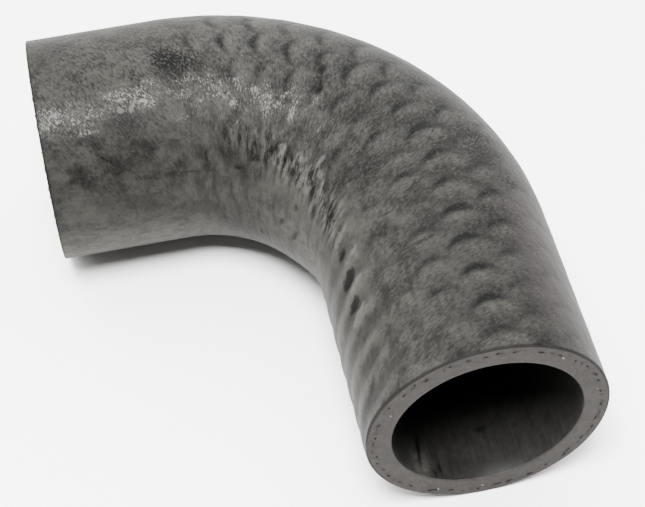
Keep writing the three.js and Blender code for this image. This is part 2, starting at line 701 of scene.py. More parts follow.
@dataclass
class HoseWall:
    """The hose's wall as a fine closed mesh: cover, both cut faces and bore."""

    form: HoseForm
    pattern: ScalePattern
    ribs: Ribs
    materials: Mapping[Zone, bpy.types.Material]
    sides: int = 312
    cover_rings: int = 228
    bore_rings: int = 40
    face_rings: int = 16
    inner_fullness: float = 1.3
    inner_fullness_place: float = 0.6
    waviness: float = 0.14
    waviness_size: float = 12.0
    face_inset: float = 0.3
    rounding: float = 0.22
    rounded_share: float = 0.06
    weld_metres: float = 2e-6
    end_tolerance: float = 1e-3
    edge_angle: float = 40.0
    seed: float = 41.0
    dents: tuple[Mark, ...] = DENTS + GOUGE + CREASES

    def sizes(self) -> dict[str, float | int]:
        """Returns the tree's named inputs with their sizes."""
        form = self.form
        return {
            "Sides": self.sides,
            "Cover rings": self.cover_rings,
            "Bore rings": self.bore_rings,
            "Face rings": self.face_rings,
            "Bore radius": form.bore_radius,
            "Wall thickness": form.wall,
            "Short leg": form.short_leg,
            "Bend radius": form.bend_radius,
            "Bend angle": form.bend_angle,
            "Long leg": form.long_leg,
            "Furrow depth": self.pattern.furrow_depth,
            "Rib depth": self.ribs.depth,
            "Waviness": self.waviness,
            "Inner fullness": self.inner_fullness,
            "Face inset": self.face_inset,
            "Rounding": self.rounding,
            "Seed": self.seed,
        }

    def tree(self) -> bpy.types.NodeTree:
        """Builds the Geometry Nodes tree of the wall.

        Returns:
            The tree, which turns any mesh into the wall.
        """
        graph, size = sized_graph("hose_wall", self.sizes())
        bend_length = size["Bend radius"] * (size["Bend angle"] * RADIANS_PER_DEGREE)
        length = size["Short leg"] + bend_length + size["Long leg"]
        start = size["Face inset"]
        end = length - start
        strips = (
            (Zone.COVER, "Cover rings", (end, start), (1.0, 1.0)),
            (Zone.CUT_FACE, "Face rings", (start, start), (1.0, 0.0)),
            (Zone.BORE, "Bore rings", (start, end), (0.0, 0.0)),
            (Zone.CUT_FACE, "Face rings", (end, end), (0.0, 1.0)),
        )
        joined = graph.node("GeometryNodeJoinGeometry")
        for zone, rings, distances, outward_shares in reversed(strips):
            strip = self.strip(graph, zone, size[rings], size["Sides"], distances, outward_shares)
            graph.tree.links.new(strip, joined.inputs[0])
        swept = self.swept(graph, size, joined.outputs[0], length)
        weld = {"Geometry": swept, "Distance": self.weld_metres}
        welded = graph.node("GeometryNodeMergeByDistance", None, weld).outputs[0]
        shown = self.keep_edges(graph, welded)
        shown = graph.node("GeometryNodeRealizeInstances", None, {"Geometry": shown}).outputs[0]
        for zone in Zone:
            shown = self.dressed(graph, shown, zone)
        graph.node("NodeGroupOutput", None, {"Geometry": shown})
        return graph.tree

    @staticmethod
    def strip(
        graph: Graph,
        zone: Zone,
        rings: Value,
        sides: Value,
        distances: tuple[Value, Value],
        outward_shares: tuple[float, float],
    ) -> bpy.types.NodeSocket:
        """Lays out one strip of the wall's surface, as a flat sheet.

        Args:
            graph: The tree that is being built.
            zone: The kind of surface.
            rings: How many rings of faces it has.
            sides: How many faces it has round the hose.
            distances: Where it starts and ends along the hose.
            outward_shares: Where it starts and ends across the wall, from 0 at the bore to 1 at the cover.

        Returns:
            The sheet. Its X is the distance, its Y the turn in degrees and its Z the share across the wall.
        """
        size = {"Size X": 1.0, "Size Y": 1.0, "Vertices X": rings + 1, "Vertices Y": sides + 1}
        sheet = graph.node("GeometryNodeMeshGrid", None, size).outputs["Mesh"]
        along, round_hose, _ = graph.parts(graph.node("GeometryNodeInputPosition").outputs[0])
        share = along + 0.5
        if zone is Zone.CUT_FACE:
            share = 0.5 - 0.5 * (math.pi * share).cosine()
        distance = distances[0] + (distances[1] - distances[0]) * share
        outward = outward_shares[0] + (outward_shares[1] - outward_shares[0]) * share
        sheet_place = graph.vector(distance, 360.0 * round_hose + 90.0, outward)
        inputs = {"Geometry": sheet, "Position": sheet_place}
        laid = graph.node("GeometryNodeSetPosition", None, inputs).outputs[0]
        return stored(graph, laid, "zone", "FLOAT", "FACE", float(zone.value))

    def swept(
        self, graph: Graph, size: Mapping[str, Value], sheets: bpy.types.NodeSocket, length: Value
    ) -> bpy.types.NodeSocket:
        """Sweeps the flat sheets round the centreline.

        Args:
            graph: The tree that is being built.
            size: The tree's inputs.
            sheets: The four sheets.
            length: Length of the centreline.

        Returns:
            The wall, with its place on the straightened hose kept for the materials.
        """
        sheet_place = graph.node("GeometryNodeInputPosition").outputs[0]
        distance, turn, outward = graph.parts(sheet_place)
        angle = turn * RADIANS_PER_DEGREE
        outer = self.form.outer_radius
        place = graph.vector(distance, outer * angle.cosine(), outer * angle.sine())
        bore = size["Bore radius"]
        offset = self.cover_offset(size, Surface(graph, place, distance, turn))
        cover = bore + size["Wall thickness"] + offset
        radius = bore + (cover - bore) * outward
        near_cover = (outward - (1 - self.rounded_share)).most(0.0) / self.rounded_share
        near_bore = (self.rounded_share - outward).most(0.0) / self.rounded_share
        off_end = (distance - size["Face inset"]).least(length - size["Face inset"] - distance)
        at_end = graph.maths("LESS_THAN", abs(off_end), self.end_tolerance)
        back = size["Rounding"] * at_end * (near_cover * near_cover + near_bore * near_bore)
        distance = distance + back * graph.maths("SIGN", length / 2 - distance)
        unrolled = graph.vector(distance, radius * angle.cosine(), radius * angle.sine())
        kept = stored(graph, sheets, "unrolled", "FLOAT_VECTOR", "POINT", unrolled)
        bent = self.bent(graph, size, distance, angle, radius)
        return graph.node("GeometryNodeSetPosition", None, {"Geometry": kept, "Position": bent}).outputs[0]

    def cover_offset(self, size: Mapping[str, Value], surface: Surface) -> Value:
        """Gives how far the cover stands out from a plain round hose.

        Args:
            size: The tree's inputs.
            surface: The cover.

        Returns:
            The offset, below 0 in furrows and dents.
        """
        graph, distance, turn = surface.graph, surface.distance, surface.turn
        bend_length = size["Bend radius"] * (size["Bend angle"] * RADIANS_PER_DEGREE)
        share = (distance - size["Short leg"]) / bend_length
        swell = share.step(0.0, self.inner_fullness_place) * share.step(1.0, self.inner_fullness_place)
        inwards = (-(turn * RADIANS_PER_DEGREE).cosine()).most(0.0)
        full = size["Inner fullness"] * swell * inwards * inwards
        shift = graph.vector(size["Seed"], 0.0, 0.0)
        shifted = graph.vector_maths("ADD", {"Vector": surface.place, "Vector_001": shift})
        waves = size["Waviness"] * graph.grain(shifted, self.waviness_size, 1.0)
        furrows = size["Furrow depth"] * self.pattern.at(surface).furrow
        dents = MarkStamp(TreeKind.GEOMETRY, self.form.outer_radius).all(surface, self.dents)
        ribs = size["Rib depth"] * (1 - self.ribs.at(surface))
        return full - furrows - waves - dents - ribs

    @staticmethod
    def bent(
        graph: Graph, size: Mapping[str, Value], distance: Value, angle: Value, radius: Value
    ) -> bpy.types.NodeSocket:
        """Carries a place on the straightened hose to the bent one.

        Args:
            graph: The tree that is being built.
            size: The tree's inputs.
            distance: Distance along the hose.
            angle: Turn round the hose, in radians.
            radius: Distance from the centreline.

        Returns:
            The point, in metres from the centre of the bend.
        """
        bend = size["Bend angle"] * RADIANS_PER_DEGREE
        past_start = distance - size["Short leg"]
        heading = (past_start / size["Bend radius"]).between(0.0, bend)
        ahead = past_start.least(0.0) + (past_start - size["Bend radius"] * bend).most(0.0)
        outwards = size["Bend radius"] + radius * angle.cosine()
        x = heading.sine() * outwards + heading.cosine() * ahead
        y = heading.cosine() * outwards - heading.sine() * ahead
        point = graph.vector(x, y, radius * angle.sine())
        return graph.vector_maths("SCALE", {"Vector": point, "Scale": METRES_PER_MM})

    def keep_edges(self, graph: Graph, mesh: bpy.types.NodeSocket) -> bpy.types.NodeSocket:
        """Shades the wall smooth, and its four cut edges sharp.

        Args:
            graph: The tree that is being built.
            mesh: The wall.

        Returns:
            The wall with its shading set.
        """
        smooth = graph.node("GeometryNodeSetShadeSmooth", {"domain": "FACE"}, {"Geometry": mesh}).outputs[0]
        angle = Value(graph, graph.node("GeometryNodeInputMeshEdgeAngle").outputs["Unsigned Angle"])
        sharp = graph.maths("GREATER_THAN", angle, math.radians(self.edge_angle))
        inputs = {"Geometry": smooth, "Selection": sharp, "Shade Smooth": False}
        return graph.node("GeometryNodeSetShadeSmooth", {"domain": "EDGE"}, inputs).outputs[0]

    def dressed(self, graph: Graph, mesh: bpy.types.NodeSocket, zone: Zone) -> bpy.types.NodeSocket:
        """Gives the faces of one zone their material.

        Args:
            graph: The tree that is being built.
            mesh: The wall.
            zone: The zone.

        Returns:
            The wall with that zone dressed.
        """
        named = graph.node("GeometryNodeInputNamedAttribute", {"data_type": "FLOAT"}, {"Name": "zone"})
        inside = abs(Value(graph, named.outputs[0]) - float(zone.value))
        chosen = graph.maths("LESS_THAN", inside, 0.5)
        inputs = {"Geometry": mesh, "Selection": chosen, "Material": self.materials[zone]}
        return graph.node("GeometryNodeSetMaterial", None, inputs).outputs[0]

    def build(self) -> bpy.types.Object:
        """Makes the wall and puts it in the CAD node's place.

        Returns:
            The wall's object.
        """
        wall = made_mesh("hose_wall", self.tree(), self.sizes())
        wall.data.transform(Matrix.Translation(self.form.bend_centre * METRES_PER_MM))
        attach(wall, BODY)
        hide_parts(HOSE_NODE)
        return wall


def sized_graph(name: str, sizes: Mapping[str, float | int]) -> tuple[Graph, dict[str, Value]]:
    """Starts a Geometry Nodes tree with named inputs.

    Args:
        name: The tree's name.
        sizes: The inputs' names and sizes. A whole number makes a whole-number input.

    Returns:
        The tree's graph, and each input as a value.
    """
    tree = bpy.data.node_groups.new(name, "GeometryNodeTree")
    for size_name, size in sizes.items():
        kind = "NodeSocketInt" if isinstance(size, int) else "NodeSocketFloat"
        tree.interface.new_socket(size_name, in_out="INPUT", socket_type=kind)
    tree.interface.new_socket("Geometry", in_out="OUTPUT", socket_type="NodeSocketGeometry")
    graph = Graph(tree)
    entry = graph.node("NodeGroupInput")
    return graph, {size_name: Value(graph, entry.outputs[size_name]) for size_name in sizes}


def stored(
    graph: Graph, mesh: bpy.types.NodeSocket, name: str, kind: str, domain: str, value: Feed
) -> bpy.types.NodeSocket:
    """Keeps a value on a mesh for the materials.

    Args:
        graph: The tree that is being built.
        mesh: The mesh.
        name: The attribute's name.
        kind: Its data type.
        domain: Where it is kept: on points or faces.
        value: The value.

    Returns:
        The mesh with the attribute.
    """
    settings = {"data_type": kind, "domain": domain}
    inputs = {"Geometry": mesh, "Name": name, "Value": value}
    return graph.node("GeometryNodeStoreNamedAttribute", settings, inputs).outputs[0]


def made_mesh(name: str, tree: bpy.types.NodeTree, sizes: Mapping[str, float | int]) -> bpy.types.Object:
    """Runs a Geometry Nodes tree and keeps its result as a plain mesh.

    Args:
        name: The piece's name.
        tree: The tree.
        sizes: What its named inputs are set to.

    Returns:
        An object with the resulting mesh and no modifier.
    """
    source = bpy.data.objects.new(f"{name}_source", bpy.data.meshes.new(f"{name}_source"))
    modifier = source.modifiers.new(name, "NODES")
    modifier.node_group = tree
    for item in tree.interface.items_tree:
        if item.name in sizes:
            modifier[item.identifier] = sizes[item.name]
    bpy.context.scene.collection.objects.link(source)
    depsgraph = bpy.context.evaluated_depsgraph_get()
    evaluated = source.evaluated_get(depsgraph)
    mesh = bpy.data.meshes.new_from_object(evaluated, preserve_all_data_layers=True, depsgraph=depsgraph)
    bpy.data.objects.remove(source)
    piece = bpy.data.objects.new(name, mesh)
    bpy.context.scene.collection.objects.link(piece)
    mesh.name = name
    return piece


def new_material(name: str) -> tuple[bpy.types.Material, Graph]:
    """Starts a material.

    Args:
        name: Its name.

    Returns:
        The material, and its empty graph.
    """
    material = bpy.data.materials.new(name)
    material.use_nodes = True
    material.node_tree.nodes.clear()
    return material, Graph(material.node_tree)


def straightened(graph: Graph) -> bpy.types.NodeSocket:
    """Returns a material's place on the straightened hose."""
    return graph.node("ShaderNodeAttribute", {"attribute_name": "unrolled"}).outputs["Vector"]


def seen_surface(graph: Graph) -> Surface:
    """Reads the surface that a material is on.

    Args:
        graph: The material's graph.

    Returns:
        The surface.
    """
    place = straightened(graph)
    distance, outwards, upwards = graph.parts(place)
    turn = 90.0 - graph.maths("ARCTAN2", outwards, upwards) * DEGREES_PER_RADIAN
    return Surface(graph, place, distance, turn)


def finished(graph: Graph, inputs: Mapping[str, Feed]) -> None:
    """Ends a material's graph in its surface shader.

    Args:
        graph: The material's graph.
        inputs: What the shader's sockets hold or are linked to.
    """
    shader = graph.node("ShaderNodeBsdfPrincipled", None, inputs)
    graph.node("ShaderNodeOutputMaterial", None, {"Surface": shader.outputs[0]})


def bumped(graph: Graph, height: Value, depth_mm: float) -> bpy.types.NodeSocket:
    """Turns a height into a surface's normal.

    Args:
        graph: The material's graph.
        height: The height, from 0 to 1.
        depth_mm: How high 1 is.

    Returns:
        The normal.
    """
    inputs = {"Height": height, "Distance": depth_mm * METRES_PER_MM, "Strength": 1.0}
    return graph.node("ShaderNodeBump", None, inputs).outputs["Normal"]


# Patches of chalky bloom, which also carry a painted glint of light on its flakes.
CHALK_GLINT = (
    Mark(2.8, 118.0, 2.6, 2.3, 1.0),
    Mark(9.6, 129.0, 2.6, 0.8, 0.8),
    Mark(16.6, 113.2, 2.2, 1.3, 1.0),
    Mark(21.2, 117.4, 2.2, 1.6, 1.0),
    Mark(28.5, 129.3, 3.0, 1.0, 0.6),
    Mark(33.5, 122.0, 1.6, 1.3, 0.5),
    Mark(39.0, 116.5, 1.2, 1.0, 0.6),
    Mark(42.6, 122.2, 1.4, 1.0, 1.0),
    Mark(47.4, 114.0, 1.3, 0.9, 1.0),
    Mark(51.6, 120.6, 1.8, 2.6, 0.9, lean=0.2),
    Mark(55.4, 111.0, 0.7, 2.0, 0.8, lean=-0.6),
    Mark(58.8, 120.2, 0.9, 2.6, 1.0, lean=0.2),
    Mark(62.4, 109.5, 0.6, 2.3, 0.9, lean=-0.2),
    Mark(45.0, 129.5, 0.45, 3.4, 0.7, lean=-0.75),
    Mark(67.4, 121.5, 0.8, 1.8, 0.5),
    Mark(73.6, 120.0, 1.0, 1.5, 0.5),
    Mark(81.5, 122.0, 1.3, 1.2, 0.5),
)

CHALK_GLINT_DABS = (
    Mark(16.3, 120.4, 0.8, 0.9, 1.0),
    Mark(18.4, 121.2, 0.6, 0.8, 0.9),
    Mark(19.0, 118.2, 0.5, 1.2, 0.9, lean=-0.6),
    Mark(2.6, 119.0, 1.5, 1.5, 0.45),
    Mark(42.6, 122.0, 1.3, 0.9, 0.9),
    Mark(47.4, 113.6, 1.4, 0.8, 0.9),
    Mark(58.6, 121.0, 0.8, 1.4, 0.8),
    Mark(18.5, 167.3, 3.0, 1.2, 0.10, lean=5.0),
    Mark(7.6, 178.0, 1.0, 1.2, 0.16, lean=0.6),
)

CHALK_GLINT_GAP = (Mark(16.8, 127.6, 4.8, 2.7, 1.0), Mark(27.5, 122.5, 3.4, 1.2, 0.5))

# Pale lifted flakes, and painted highlights on the ridges beside the long leg's dents.
RAISED_FLAKES_AND_HIGHLIGHTS = (
    Mark(60.8, 137.6, 1.5, 1.6, 0.8),
    Mark(64.3, 146.0, 0.8, 2.0, 0.8),
    Mark(68.3, 136.8, 1.8, 0.8, 0.8),
    Mark(71.6, 144.0, 1.1, 2.8, 1.0),
    Mark(73.8, 132.0, 0.9, 1.8, 0.9),
    Mark(76.4, 137.4, 1.2, 0.8, 0.8, lean=0.8),
    Mark(79.6, 144.0, 1.3, 3.0, 1.0, lean=0.6),
    Mark(86.0, 129.5, 1.1, 1.1, 0.5),
    Mark(97.3, 146.0, 1.1, 3.8, 0.6, lean=0.35),
    Mark(102.8, 142.0, 0.7, 3.4, 0.7, lean=0.4),
    Mark(104.2, 138.4, 1.4, 0.9, 0.5),
    Mark(109.2, 146.0, 1.0, 4.0, 0.7, lean=0.4),
    Mark(115.0, 148.0, 1.0, 3.8, 0.6, lean=0.4),
    Mark(61.8, 97.8, 0.5, 1.0, 0.5),
)

NICKS = (
    Mark(11.5, 142.5, 0.35, 2.2, 0.8, lean=1.16),
    Mark(29.5, 156.5, 4.0, 0.25, 0.6),
    Mark(35.2, 148.5, 0.3, 1.6, 0.7, lean=0.3),
    Mark(43.0, 147.5, 2.0, 1.9, 0.5),
    Mark(41.2, 136.5, 1.0, 1.2, 0.6),
    Mark(46.6, 153.0, 1.7, 0.4, 0.9),
    Mark(55.5, 151.8, 0.4, 1.8, 0.6, lean=0.3),
    Mark(57.1, 188.0, 0.8, 1.0, 1.0),
    Mark(56.4, 175.0, 0.9, 1.3, 0.6),
    Mark(62.2, 168.0, 1.4, 0.9, 0.5, lean=-0.8),
    Mark(68.3, 171.8, 1.2, 0.8, 1.0, lean=-0.9),
    Mark(76.0, 175.0, 1.1, 1.6, 1.0, lean=-0.9),
    Mark(73.9, 159.0, 1.1, 0.8, 0.7),
    Mark(52.5, 146.0, 2.4, 1.0, 0.8),
    Mark(56.5, 143.0, 0.9, 2.2, 0.8, lean=0.3),
    Mark(62.6, 141.5, 0.5, 2.4, 0.8, lean=0.2),
    Mark(67.3, 145.5, 2.0, 1.0, 0.9),
    Mark(74.6, 143.5, 1.3, 1.3, 0.8, lean=0.4),
    Mark(81.8, 155.0, 0.9, 1.8, 0.7, lean=0.5),
    Mark(85.5, 146.0, 3.0, 1.4, 0.7),
    Mark(89.5, 153.0, 0.7, 2.6, 0.8, lean=0.9),
    Mark(90.8, 89.0, 0.5, 1.6, 0.6, lean=0.7),
    Mark(95.6, 99.5, 0.6, 2.0, 0.7, lean=0.7),
    Mark(108.6, 103.8, 0.5, 2.1, 0.7, lean=0.25),
    Mark(117.5, 116.0, 3.0, 0.4, 0.5, lean=-0.5),
)

STAINS = (
    Mark(16.8, 127.6, 4.8, 2.9, 0.4),
    Mark(10.0, 134.5, 1.6, 1.6, 0.2, lean=0.8),
    Mark(6.6, 152.0, 1.4, 4.6, 0.14),
    Mark(15.0, 143.0, 8.0, 7.5, 0.2),
    Mark(43.0, 148.5, 2.6, 2.0, 0.4),
    Mark(85.5, 144.0, 4.0, 2.0, 0.35),
    Mark(85.0, 119.0, 6.0, 4.4, 0.4),
    Mark(45.0, 137.0, 7.5, 3.6, 0.4),
    Mark(61.0, 134.0, 6.0, 3.0, 0.3),
    Mark(2.5, 88.0, 5.0, 7.0, 0.26),
    Mark(52.0, 183.0, 24.0, 4.6, 0.24),
    Mark(76.0, 129.0, 5.5, 5.0, 0.35),
)

FRECKLED = (
    Mark(7.0, 76.0, 3.5, 3.0, 0.5),
    Mark(19.8, 105.0, 0.8, 2.4, 0.8),
    Mark(25.5, 95.5, 3.0, 3.4, 0.8),
    Mark(29.5, 101.0, 4.2, 4.4, 1.0),
    Mark(16.8, 127.0, 3.6, 2.2, 0.5),
    Mark(13.0, 137.0, 4.0, 2.6, 0.4, lean=0.9),
    Mark(7.5, 149.0, 2.2, 4.0, 0.45, lean=-0.3),
    Mark(57.0, 141.0, 3.4, 2.6, 0.5),
    Mark(88.0, 58.0, 4.5, 5.5, 1.0),
    Mark(95.5, 49.0, 1.6, 4.4, 0.9),
    Mark(86.5, 118.0, 3.0, 2.6, 0.7),
    Mark(84.0, 134.0, 3.6, 3.0, 0.6),
    Mark(94.0, 120.0, 1.8, 2.4, 0.6),
    Mark(106.0, 68.0, 6.0, 5.0, 0.6),
    Mark(111.0, 131.0, 2.4, 3.0, 0.7),
    Mark(46.0, 192.0, 7.0, 3.0, 0.6),
    Mark(70.0, 183.0, 6.0, 3.0, 0.5),
    Mark(133.0, 150.0, 2.4, 9.0, 0.7),
    Mark(133.0, 60.0, 2.0, 9.0, 0.4),
)


@dataclass(frozen=True)
class CoverCanvas:
    """The cover while it is painted.

    It has layers of noise from coarse to fine, and the share of the fine ones that shows at a place.
    """

    surface: Surface
    mottle: Value
    clumps: Value
    folds: Value
    fine: Value
    flakes: Value
    specks: Value
    grain_share: Value
    crease_row: Value
    stamp: MarkStamp
    paint: Paint

    def lay(self, share: Number, colour: Colour) -> None:
        """Lays a colour over the ones below it. It shows as much as share says, from 0 to 1."""
        self.paint.lay(share, colour)

    def marked(self, marks: tuple[Mark, ...]) -> Value:
        """Returns the sum of several marks at each place."""
        return self.stamp.all(self.surface, marks)


@dataclass(frozen=True)
class CoverFinish:
    """Aged black rubber: greyed, freckled, with painted shade and dirt in its furrows, painted highlights on
    its crests, and a band of chalky bloom with painted glint.

    A span gives where something starts and ends, in turns, distances or levels of noise. A share is how much
    of a layer shows.
    """

    pattern: ScalePattern
    ribs: Ribs
    dents: tuple[Mark, ...] = DENTS + GOUGE + CREASES
    dark: Colour = (0.0042, 0.0041, 0.0036, 1.0)
    grey: Colour = (0.0215, 0.0208, 0.0182, 1.0)
    pale: Colour = (0.046, 0.0447, 0.0400, 1.0)
    deep: Colour = (0.0002, 0.0002, 0.0002, 1.0)
    chalk_glint: Colour = (0.105, 0.102, 0.095, 1.0)
    flake_and_highlight: Colour = (0.055, 0.053, 0.048, 1.0)
    purple: Colour = (0.020, 0.0142, 0.0158, 1.0)
    mottle_mm: float = 4.0
    lumps_mm: float = 2.2
    clumps_mm: Lengths = (3.2, 2.0, 2.0)
    folds_mm: Lengths = (1.7, 4.0, 1.0)
    fine_mm: Lengths = (0.55, 1.3, 1.0)
    flakes_mm: Lengths = (0.4, 0.75, 1.0)
    specks_mm: Lengths = (0.38, 0.8, 1.0)
    streaks_mm: Lengths = (6.0, 0.55, 0.55)
    patchy_mm: Lengths = (3.0, 1.6, 1.6)
    grain_lean: float = 0.35
    smooth_share: float = 0.4
    inner_turns: Span = (144.0, 122.0)
    upper_turns: Span = (-5.0, 52.0)
    long_leg_calm: Span = (106.0, 80.0)
    cloud_change: Span = (40.0, 80.0)
    blotch_levels: Span = (0.40, 0.60)
    scuff_levels: Span = (0.58, 0.74)
    scratch_levels: Span = (0.40, 0.28)
    lower_edge_turns: Span = (176.0, 194.0)
    lower_edge_distances: Span = (60.0, 20.0)
    inner_bend_turns: Span = (146.0, 172.0)
    inner_bend_distances: Span = (42.0, 80.0)
    underneath_start: Span = (150.0, 176.0)
    underneath_end: Span = (240.0, 206.0)
    dim: float = 0.40
    dim_turns: Span = (36.0, 110.0)
    dim_start: Span = (42.0, 68.0)
    outer_bloom: float = 0.3
    bloom_turns: Span = (-60.0, 46.0)
    bloom_start: Span = (40.0, 70.0)
    purple_share: float = 0.4
    purple_turns: Span = (25.0, 62.0)
    purple_distances: Span = (98.0, 128.0)
    crest_highlight_share: float = 0.32
    shade_share: float = 1.7
    rib_highlight_share: float = 0.6
    rib_shade_share: float = 0.35
    calmer_share: float = 0.1
    calmer_start: Span = (84.0, 104.0)
    crease_turn: float = 143.0
    crease_middle: float = 70.0
    crease_reach: Span = (-30.0, 27.0)
    crease_lean: float = 0.22
    crease_width: float = 9.0
    slit_share: float = 0.9
    slit_levels: Span = (0.48, 0.40)
    flaky_start: Span = (50.0, 62.0)
    flaky_levels: Span = (0.50, 0.60)
    below_row_share: float = 0.34
    below_row_start: Span = (50.0, 64.0)
    rib_side_share: float = 0.2
    rib_side_turns: Span = (132.0, 156.0)
    rib_side_distances: Span = (88.0, 114.0)
    worn_off_share: float = 0.22
    freckle_levels: Span = (0.52, 0.66)
    worn_off_levels: Span = (0.54, 0.68)
    chalk_glint_band: Span = (108.0, 124.0)
    chalk_glint_softness: float = 9.0
    chalk_glint_end: float = 68.0
    chalk_glint_fade: float = 16.0
    chalk_glint_ragged: float = 16.0
    chalk_glint_drop: float = 5.0
    chalk_glint_levels: Span = (0.54, 0.66)
    dab_levels: Span = (0.45, 0.75)
    edge_shade_span: Span = (1.0, 0.35)
    edge_shade_share: float = 0.85
    relief_mm: float = 0.26
    gloss: float = 0.055

    def material(self) -> bpy.types.Material:
        """Builds the finish, each layer over the ones before it.

        Returns:
            The material.
        """
        material, graph = new_material("aged_cover_rubber")
        canvas = self.canvas(graph)
        layers = (
            self.lay_ground,
            self.lay_scuffs_and_floor_reflection,
            self.lay_tones,
            self.lay_scales,
            self.lay_creases,
            self.lay_freckles,
            self.lay_chalk_glint,
            self.lay_dent_shade,
            self.lay_edge_shade,
        )
        for lay in layers:
            lay(canvas)
        lumps = graph.grain(canvas.surface.place, self.lumps_mm, 3.0, 0.55, shift=19.0)
        relief = 0.7 * lumps + 0.15 * canvas.specks + 0.15 * canvas.fine
        height = relief + canvas.crease_row * canvas.folds.step(0.40, 0.60)
        inputs = {
            "Base Color": canvas.paint.colour,
            "Roughness": 0.40 + 0.22 * canvas.mottle + 0.12 * canvas.fine,
            "Normal": bumped(graph, height, self.relief_mm),
            "Specular IOR Level": self.gloss,
        }
        finished(graph, inputs)
        return material

    def canvas(self, graph: Graph) -> CoverCanvas:
        """Readies the cover for its layers of paint.

        Args:
            graph: The material's graph.

        Returns:
            The canvas. All but its coarse layers of noise run at a slant round the hose.
        """
        cover = seen_surface(graph)
        distance, turn = cover.distance, cover.turn
        round_hose = turn * (RADIANS_PER_DEGREE * self.pattern.form.outer_radius)
        slanted = graph.vector(distance - self.grain_lean * round_hose, round_hose, 0.0)
        on_upper = 0.1 + 0.9 * turn.step(*self.upper_turns)
        rough = turn.step(*self.inner_turns) * (0.4 + 0.6 * distance.step(*self.long_leg_calm)) * on_upper
        return CoverCanvas(
            surface=cover,
            mottle=graph.grain(cover.place, self.mottle_mm, 4.0, 0.6),
            clumps=graph.grain(cover.place, self.clumps_mm, 3.0, 0.6, shift=71.0),
            folds=graph.grain(slanted, self.folds_mm, 3.0, 0.6, shift=83.0),
            fine=graph.grain(slanted, self.fine_mm, 3.0, 0.7, shift=5.0),
            flakes=graph.grain(slanted, self.flakes_mm, 3.0, 0.75, shift=9.0),
            specks=graph.grain(slanted, self.specks_mm, 2.0, 0.6, shift=31.0),
            grain_share=self.smooth_share + (1 - self.smooth_share) * rough,
            crease_row=self.crease_row(distance, turn),
            stamp=MarkStamp(TreeKind.SHADER, self.pattern.form.outer_radius),
            paint=Paint(graph, self.dark),
        )

    def crease_row(self, distance: Value, turn: Value) -> Value:
        """Shows the row of fine creases in the inner side of the bend.

        Args:
            distance: Distance along the hose.
            turn: Turn round the hose, in degrees.

        Returns:
            The row, from 0 to 1.
        """
        middle = self.crease_turn + (distance - self.crease_middle) * self.crease_lean
        across = ((turn - middle) / self.crease_width).bell()
        start, end = (self.crease_middle + reach for reach in self.crease_reach)
        return across * distance.band(start, end, 16.0)

    def lay_ground(self, canvas: CoverCanvas) -> None:
        """Lays grey blotches on the dark rubber, calmer on the outer side and past the short leg.

        Args:
            canvas: The cover.
        """
        on_upper = 0.5 + 0.5 * canvas.surface.turn.step(*self.upper_turns)
        clouded = (0.42 - 0.06 * canvas.surface.distance.step(*self.cloud_change)) * on_upper
        blotches = 0.5 + clouded * (canvas.mottle - 0.5) + 0.5 * canvas.grain_share * (canvas.fine - 0.5)
        canvas.lay(blotches.step(*self.blotch_levels), self.grey)

    def lay_scuffs_and_floor_reflection(self, canvas: CoverCanvas) -> None:
        """Lays thin scuffs along the hose, and paints a patchy pale reflection of the floor on its
        underside, strongest at the lower edge and the inner side of the bend.

        Args:
            canvas: The cover.
        """
        graph, place = canvas.surface.graph, canvas.surface.place
        distance, turn = canvas.surface.distance, canvas.surface.turn
        streaks = graph.grain(place, self.streaks_mm, 3.0, 0.65, shift=53.0)
        canvas.lay(streaks.step(*self.scuff_levels) * 0.2, self.pale)
        canvas.lay(streaks.step(*self.scratch_levels) * 0.35, self.deep)
        # Painted reflection of the pale floor on the underside, broken up by noise.
        lower_edge = turn.step(*self.lower_edge_turns) * distance.step(*self.lower_edge_distances)
        inner_bend = turn.step(*self.inner_bend_turns) * distance.step(*self.inner_bend_distances)
        patchy = graph.grain(place, self.patchy_mm, 4.0, 0.7, shift=61.0).step(0.34, 0.6)
        underneath = turn.step(*self.underneath_start) * turn.step(*self.underneath_end)
        share = underneath * (0.2 + 0.8 * lower_edge.most(inner_bend))
        canvas.lay(share * (0.25 + 0.55 * patchy), self.pale)

    def lay_tones(self, canvas: CoverCanvas) -> None:
        """Lays the broad tones: a dark top, a purplish place, dark stains and a pale outer side.

        Args:
            canvas: The cover.
        """
        distance, turn = canvas.surface.distance, canvas.surface.turn
        on_top = turn.band(*self.dim_turns, 30.0) * distance.step(*self.dim_start)
        canvas.lay(on_top * self.dim, self.deep)
        purplish = turn.band(*self.purple_turns, 16.0) * distance.band(*self.purple_distances, 12.0)
        canvas.lay(purplish * self.purple_share, self.purple)
        canvas.lay(canvas.marked(STAINS), self.deep)
        bloomed = turn.band(*self.bloom_turns, 36.0) * distance.step(*self.bloom_start)
        canvas.lay(bloomed * self.outer_bloom, self.pale)

    def lay_scales(self, canvas: CoverCanvas) -> None:
        """Paints highlights on the crests of scales and ribs, painted shade with dirt in the scales'
        furrows, and painted shade between the ribs.

        Args:
            canvas: The cover.
        """
        scales = self.pattern.at(canvas.surface)
        ribs = self.ribs.at(canvas.surface)
        calmer = 1 - self.calmer_share * canvas.surface.distance.step(*self.calmer_start)
        # Painted highlights on the crests of scales and ribs.
        crest_highlights = scales.crest * calmer * self.crest_highlight_share + ribs.most(0.0) * self.rib_highlight_share
        canvas.lay(crest_highlights * canvas.fine.step(0.2, 0.6), self.pale)
        # Painted shade, with dirt, in the scales' furrows, and painted shade between the ribs.
        furrow_shade_and_dirt = scales.shade * calmer * self.shade_share + (-ribs).most(0.0) * self.rib_shade_share
        canvas.lay(furrow_shade_and_dirt * (0.85 + 0.3 * canvas.fine), self.deep)

